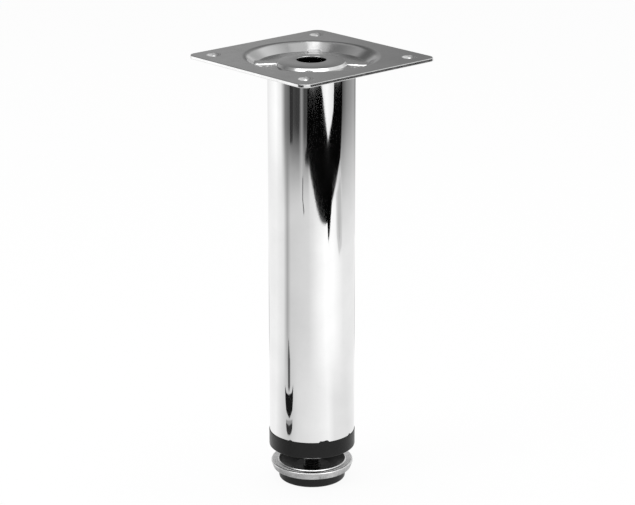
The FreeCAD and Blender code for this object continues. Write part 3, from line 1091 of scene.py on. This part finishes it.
def dome_light(tree):
    """Light from above: grey walls, dark over the back wall, bright overhead, brighter to the right."""
    direction = add(tree, "ShaderNodeVectorMath", {0: own_coords(tree)}, operation="NORMALIZE").outputs["Vector"]
    xyz = split(tree, direction)
    share = math_node(tree, "MULTIPLY", math_node(tree, "ARCCOSINE", xyz["Y"]), 1 / math.pi)
    high = shades(tree, share, [(degrees / 180, grey) for degrees, grey in DOME_ARC])
    side = shades(tree, xyz["X"], DOME_SIDE)
    across = math_node(tree, "MULTIPLY_ADD", xyz["X"], 0.5, 0.5)
    walls = shades(tree, across, [(0.5 + x / 2, grey) for x, grey in DOME_WALLS])
    light = between(tree, soft_step(tree, xyz["Z"], *WALLS_TO_DOME), walls, math_node(tree, "ADD", high, side))
    return between(tree, soft_step(tree, xyz["Z"], *WHITE_TO_WALLS), 1.0, light)


def dome():
    bm = bmesh.new()
    bmesh.ops.create_uvsphere(bm, u_segments=48, v_segments=24, radius=3.0)
    bmesh.ops.delete(bm, geom=[v for v in bm.verts if v.co.z < -0.01], context="VERTS")
    reflected_in_view("dome", bm, dome_light)


def seen(tree):
    """1 for what the camera sees, also in a mirror or through glass."""
    path = add(tree, "ShaderNodeLightPath").outputs
    share = math_node(tree, "MAXIMUM", path["Is Camera Ray"], path["Is Glossy Ray"])
    return math_node(tree, "MAXIMUM", share, path["Is Transmission Ray"])


# Share of the floor that is plain white, and what the white world lends to the lighting
FLOOR_WHITE = 0.93
SKY_LIGHT = 0.6


def floor():
    """A floor that looks white and keeps a faint shadow."""
    material, tree = surface_tree("floor")
    share = math_node(tree, "MULTIPLY", seen(tree), FLOOR_WHITE)
    matt = add(tree, "ShaderNodeBsdfDiffuse", {"Color": (0.85, 0.85, 0.85, 1)})
    white = add(tree, "ShaderNodeEmission", {"Color": (1, 1, 1, 1), "Strength": 1.0})
    mix = add(tree, "ShaderNodeMixShader", {0: share, 1: matt.outputs[0], 2: white.outputs[0]})
    add(tree, "ShaderNodeOutputMaterial", {"Surface": mix.outputs[0]})
    obj = mesh_object("floor", plane(6.0, -0.0001))
    obj.data.materials.append(material)
    stand(obj)


def world():
    """A white world that lights a little less than it shows."""
    backdrop = bpy.data.worlds.new("studio")
    bpy.context.scene.world = backdrop
    backdrop.use_nodes = True
    tree = backdrop.node_tree
    tree.nodes.clear()
    strength = spread(tree, seen(tree), SKY_LIGHT, 1.0, 0.0, 1.0)
    sky = add(tree, "ShaderNodeBackground", {"Color": (1, 1, 1, 1), "Strength": strength})
    add(tree, "ShaderNodeOutputWorld", {"Surface": sky.outputs[0]})


def lamp(name, place, target, size, power):
    """A square lamp between two points of the view frame. It shows in no mirror."""
    data = bpy.data.lights.new(name, "AREA")
    data.shape = "SQUARE"
    data.size = size
    data.energy = power
    obj = bpy.data.objects.new(name, data)
    bpy.context.scene.collection.objects.link(obj)
    start = from_view(*place)
    obj.location = start
    obj.visible_glossy = False
    obj.rotation_mode = "QUATERNION"
    obj.rotation_quaternion = (from_view(*target) - start).to_track_quat("-Z", "Y")


floor()
world()
lamp("overhead", (0, 150, 1500), (0, 0, 100), 1.0, 12)
lamp("left", (-1300, -700, 900), (0, 0, 120), 0.8, 8)

# What the tube mirrors
reflected_in_view("floor_sheen", plane(2.5, 0.0005), floor_sheen_light)
dome()
table_card("dark_sheet", [
    (307.5, 76), (306.7, 148), (304.5, 157), (305, 164), (309, 168), (313, 189), (315.5, 203), (319, 217),
    (320.5, 221), (327.4, 224), (328.2, 242.5), (329.3, 238), (331, 217), (332, 203), (335, 189), (338.5, 170),
    (340.3, 159), (341.2, 143), (342.3, 107), (342.3, 76), (334.2, 76), (333.4, 110), (330.5, 129), (328, 141),
    (326.4, 128), (324, 107), (322, 90), (320.5, 80), (319, 76)], 0.001)
table_card("dark_streak", [(289.5, 76), (293, 76), (292.7, 143), (290, 145)], 0.035)
table_card("second_streak", [(296.6, 76), (299.9, 76), (299.6, 120), (298.6, 136), (297.4, 122)], 0.05)
table_card("stray_line", [
    (302.3, 178), (303.3, 178), (303.1, 200), (304.4, 213), (303.7, 217), (302.2, 200)], 0.2)
table_card("pale_smudge", [
    (336.2, 195), (340.6, 168), (342.6, 205), (341.8, 246), (339, 256), (336.6, 235)], 0.68, 0.8)
table_card("grey_smudge", [
    (337.6, 194), (340.4, 176), (341, 200), (340.3, 238), (339, 243), (337.9, 225)], 0.55)
table_card("thin_leg", [
    (288.4, 341), (288.9, 341), (290.2, 362), (290.2, 388), (289, 394), (288, 388), (287.8, 360)], 0.12)
table_card("dark_foot", [
    (285, 386), (286.4, 394), (289, 396), (291.7, 394), (293.2, 386), (293, 402), (292.3, 412), (289.4, 420),
    (286.2, 412), (285.4, 402)], 0.01)
table_card("sole_shade", [(286, 420.5), (292.4, 420.5), (292.4, 428), (286, 428)], 0.33, 0.8)
table_card("dark_sole", [
    (286.2, 424), (289, 427), (292.3, 424), (292.2, 431), (291, 435.5), (289.2, 437), (287.4, 435.5),
    (286.4, 431)], 0.03)

# What the edges of the plate, the ring and the dish mirror
upright_card("side_flag", 1150, -500, 1150, 700, 2, 150, 0.01)
upright_card("corner_flag", -1490, -130, -312, -1467, 20, 230, 0.03)
upright_card("left_white", -1500, -60, -1500, 900, 2, 235, 1.35)
foot_glow()
view_card("top_light", [(-290, 100, 2640), (90, 100, 2640), (60, 1600, 2035), (-70, 1600, 2035)], 1.25)
view_card("right_glow", [(90, 100, 2640), (820, 100, 2510), (540, 950, 2400), (75, 950, 2450)], 0.55)
view_card("left_glow", [(-290, 100, 2640), (-640, 100, 2560), (-430, 950, 2400), (-165, 950, 2450)], 0.5)
